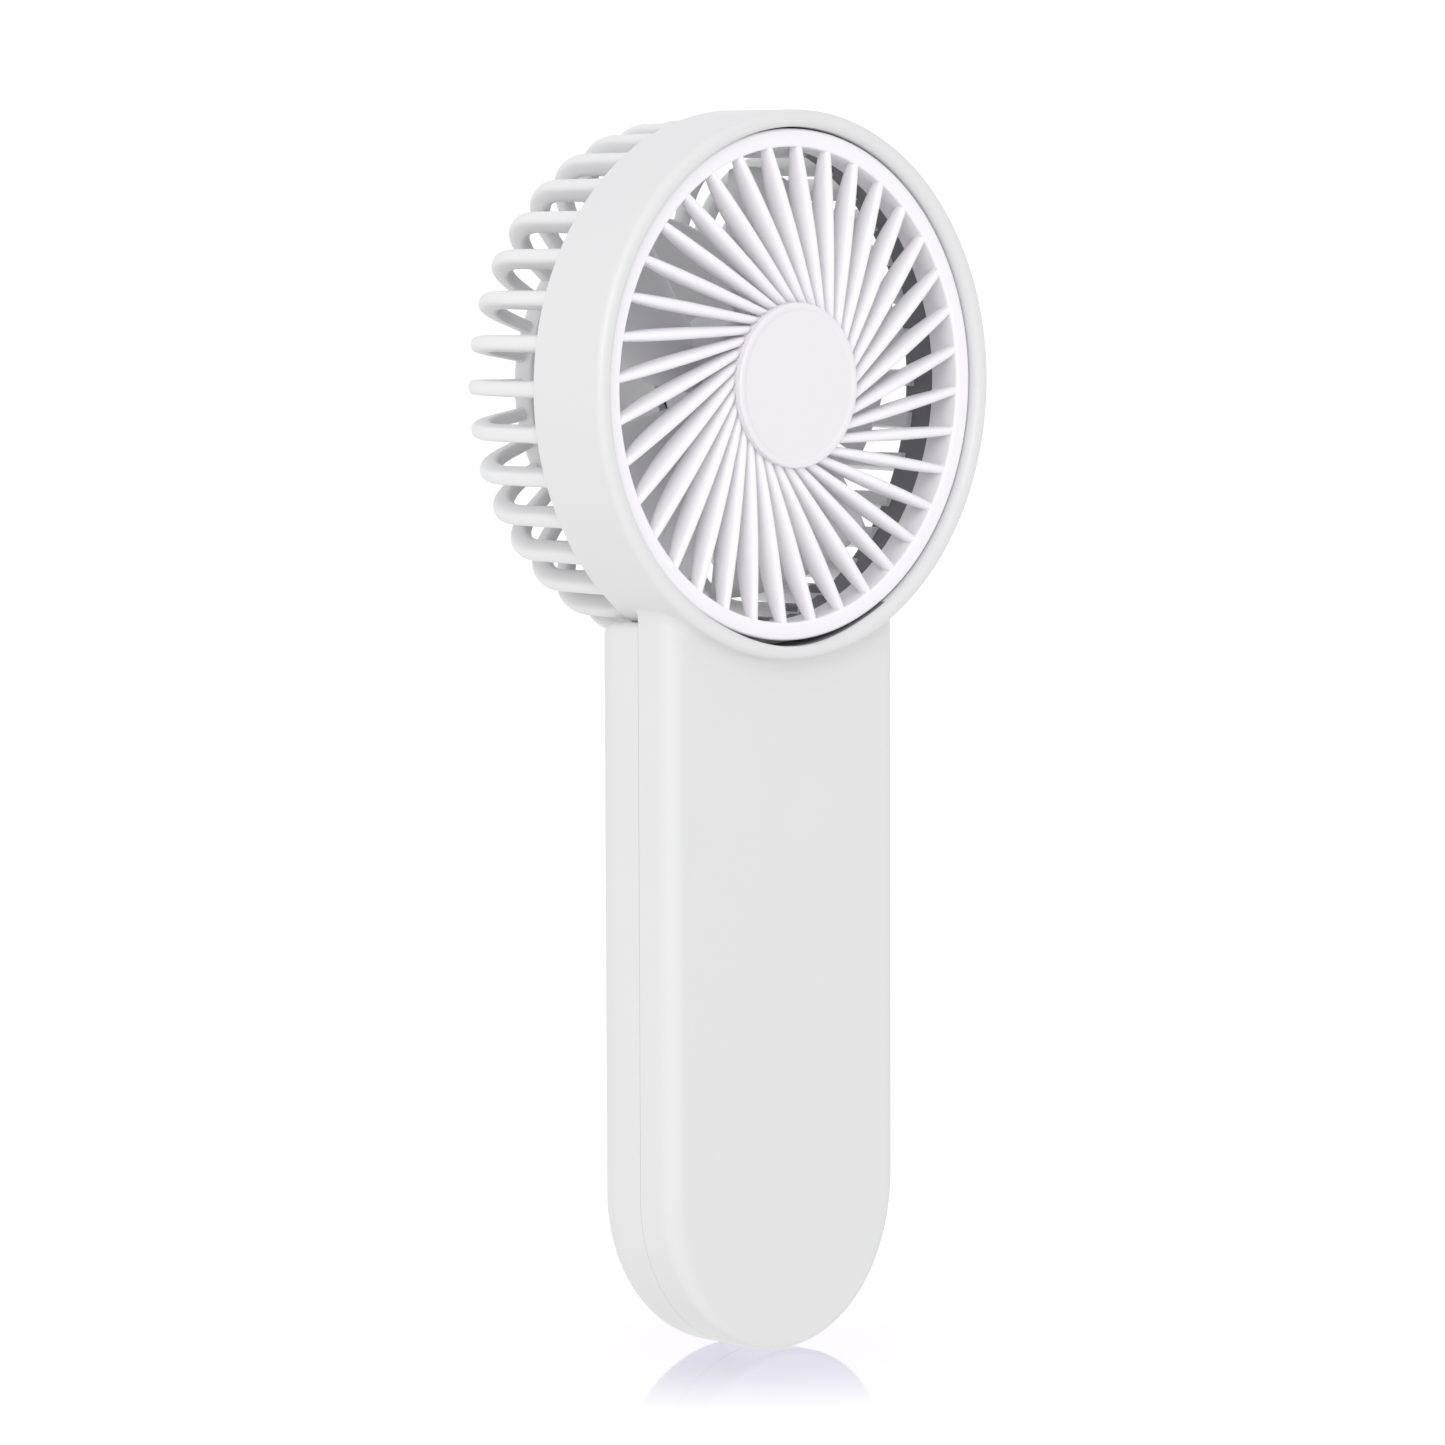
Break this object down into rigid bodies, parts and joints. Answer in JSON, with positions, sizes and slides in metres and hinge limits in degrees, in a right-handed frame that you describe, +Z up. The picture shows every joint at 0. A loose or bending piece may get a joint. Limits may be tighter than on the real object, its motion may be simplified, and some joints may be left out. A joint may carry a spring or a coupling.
{
  "type": "handheld electric fan",
  "caption": "Handheld electric fan: round louvred fan head with a ribbed rear cage, moulded onto a flat pill-shaped handle that holds the battery.",
  "frame": {"origin": "centre of the bounding box at the level of the handle's lowest point", "axes": "+Z up along the handle to the fan head, -Y the way the grille faces, +X to the right of somebody facing the grille"},
  "size_m": [0.0894, 0.0398, 0.2037],
  "materials": {
    "housing_plastic": "satin moulded ABS, warm grey-white",
    "grille_plastic": "smooth bright white moulded ABS",
    "cap_plastic": "smooth pale lavender-white moulded ABS",
    "cage_plastic": "satin moulded ABS, white",
    "impeller_plastic": "smooth moulded PP, grey-white",
    "button_plastic": "smooth moulded ABS",
    "steel": "plated steel",
    "screw_steel": "zinc-plated steel",
    "copper": "copper alloy",
    "brass": "sintered bronze",
    "magnet_ferrite": "dull sintered ferrite",
    "black_plastic": "moulded nylon",
    "board_laminate": "solder-masked laminate",
    "battery_foil": "foil laminate pouch",
    "foam": "closed-cell foam",
    "clear_plastic": "frosted clear moulding",
    "wire_red": "PVC insulation",
    "wire_black": "PVC insulation"
  },
  "bodies": {
    "housing": {"front_housing": "housing_plastic", "back_cover": "housing_plastic", "front_grille": "grille_plastic", "grille_cap": "cap_plastic", "rear_cage": "cage_plastic", "rear_hub_cover": "cage_plastic", "motor_can": "steel", "motor_end_cap": "black_plastic", "motor_front_bush": "brass", "motor_rear_bush": "brass", "brush_left": "copper", "brush_right": "copper", "magnet_left": "magnet_ferrite", "magnet_right": "magnet_ferrite", "battery_pouch": "battery_foil", "battery_board": "board_laminate", "battery_foam": "foam", "circuit_board": "board_laminate", "switch_body": "black_plastic", "led_1": "clear_plastic", "led_2": "clear_plastic", "led_3": "clear_plastic", "led_4": "clear_plastic", "light_guide": "clear_plastic", "usb_shell": "steel", "usb_tongue": "black_plastic", "case_screw_1": "screw_steel", "case_screw_2": "screw_steel", "case_screw_3": "screw_steel", "case_screw_4": "screw_steel", "board_screw_1": "screw_steel", "board_screw_2": "screw_steel", "board_screw_3": "screw_steel", "board_screw_4": "screw_steel", "motor_wire_red": "wire_red", "motor_wire_black": "wire_black", "battery_wire_red": "wire_red", "battery_wire_black": "wire_black"},
    "rotor": {"impeller": "impeller_plastic", "motor_shaft": "steel", "armature_core": "steel", "armature_coil_1": "copper", "armature_coil_2": "copper", "armature_coil_3": "copper", "commutator": "copper"},
    "button": {"power_button": "button_plastic", "switch_plunger": "black_plastic"}
  },
  "joints": [
    {"name": "fan_spin", "type": "hinge", "parent": "housing", "child": "rotor", "pos_m": [0, 0, 0.159], "axis": [0, 1, 0], "continuous": true},
    {"name": "power_press", "type": "slide", "parent": "housing", "child": "button", "axis": [0, -1, 0], "range_m": [0, 0.0004], "stiffness_N_per_m": 600}
  ]
}
